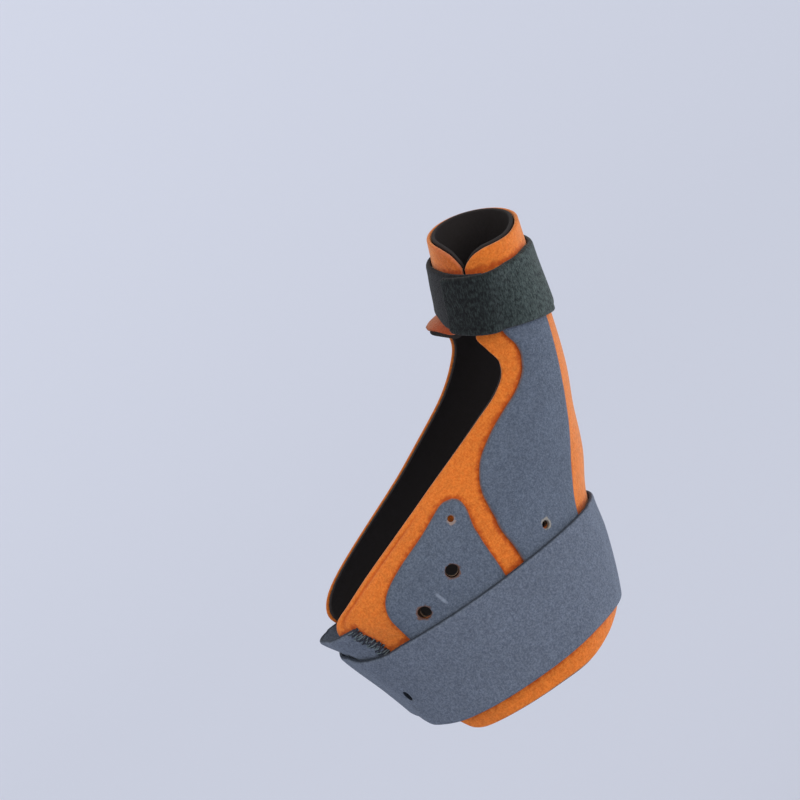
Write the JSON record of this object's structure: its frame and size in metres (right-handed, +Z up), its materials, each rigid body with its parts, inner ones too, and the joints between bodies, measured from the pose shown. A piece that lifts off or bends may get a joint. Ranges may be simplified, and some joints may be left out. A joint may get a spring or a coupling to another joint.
{
  "type": "thumb spica splint",
  "caption": "Fabric thumb and wrist splint: soft orange body round the base of the thumb, grey panels, a wide wrist strap and a narrow thumb strap.",
  "frame": {"origin": "the middle of the wrist, inside the cuff, which is where the wearer's wrist holds the splint up", "axes": "+Z up the forearm towards the hand, +X to the thumb side, -Y out of the palm"},
  "size_m": [0.1086, 0.0563, 0.1092],
  "materials": {
    "orange_velour": "short fuzzy pile on foam",
    "black_lining": "smooth knitted lining",
    "grey_velour": "short brushed velour, pressed edges",
    "strap_velour": "short brushed velour",
    "dark_loop": "brushed loop tape",
    "hook_tape": "hook tape"
  },
  "bodies": {
    "root": {"lining": "black_lining", "cover": "orange_velour", "palm_panel": "grey_velour", "thumb_panel": "grey_velour", "wrist_strap": "strap_velour", "wrist_hook_patch": "hook_tape", "thumb_strap": "dark_loop", "thumb_hook_patch": "hook_tape"}
  },
  "joints": []
}
